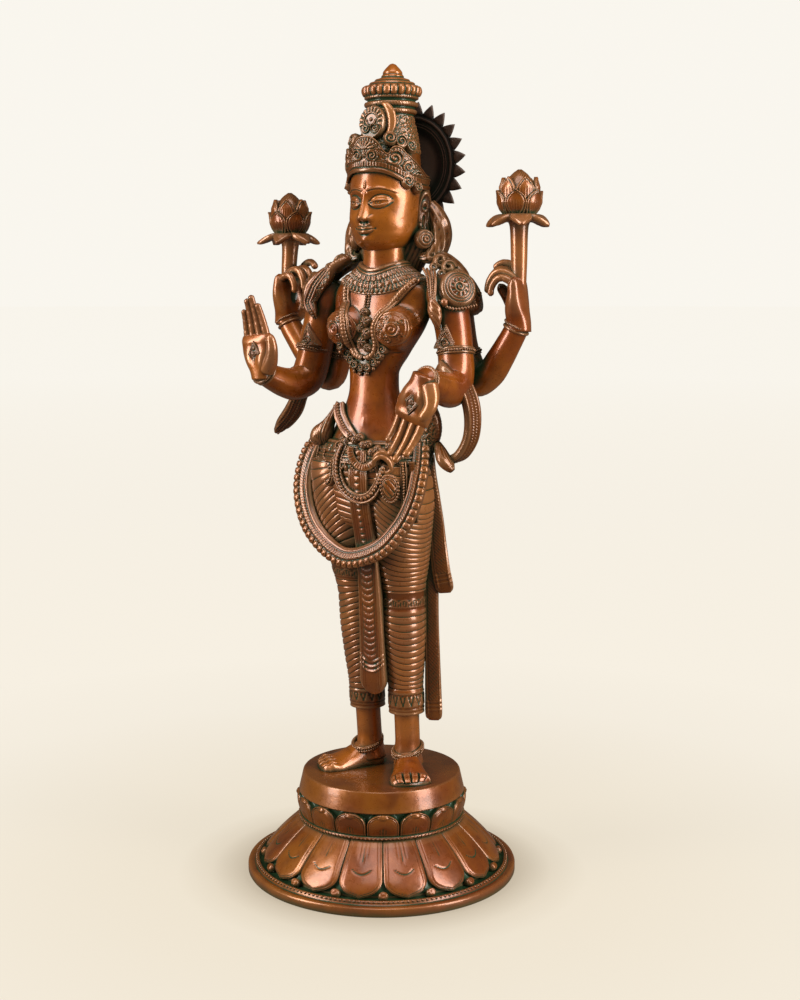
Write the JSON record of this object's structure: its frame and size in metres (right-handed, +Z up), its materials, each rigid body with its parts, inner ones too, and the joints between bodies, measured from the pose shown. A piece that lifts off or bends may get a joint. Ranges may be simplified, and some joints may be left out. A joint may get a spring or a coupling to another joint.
{
  "type": "lakshmi figure",
  "caption": "Standing four-armed goddess holding lotus buds, cast in brass with a toothed wheel behind the crowned head, on a round lotus-petal plinth.",
  "frame": {"origin": "middle of the plinth's flat underside", "axes": "+Z up through the figure; the face, chest and toes point along -Y; the figure's own left side is at +X"},
  "size_m": [0.377, 0.306, 0.9],
  "materials": {
    "plinth_metal": "red-brown antique finish, polished on the raised petals, green in the recesses",
    "figure_metal": "orange-brown antique finish, polished on the skin, dark and green in the carving",
    "wheel_metal": "dark brown, satin"
  },
  "bodies": {
    "root": {"plinth": "plinth_metal", "figure": "figure_metal", "halo": "wheel_metal"}
  },
  "joints": []
}
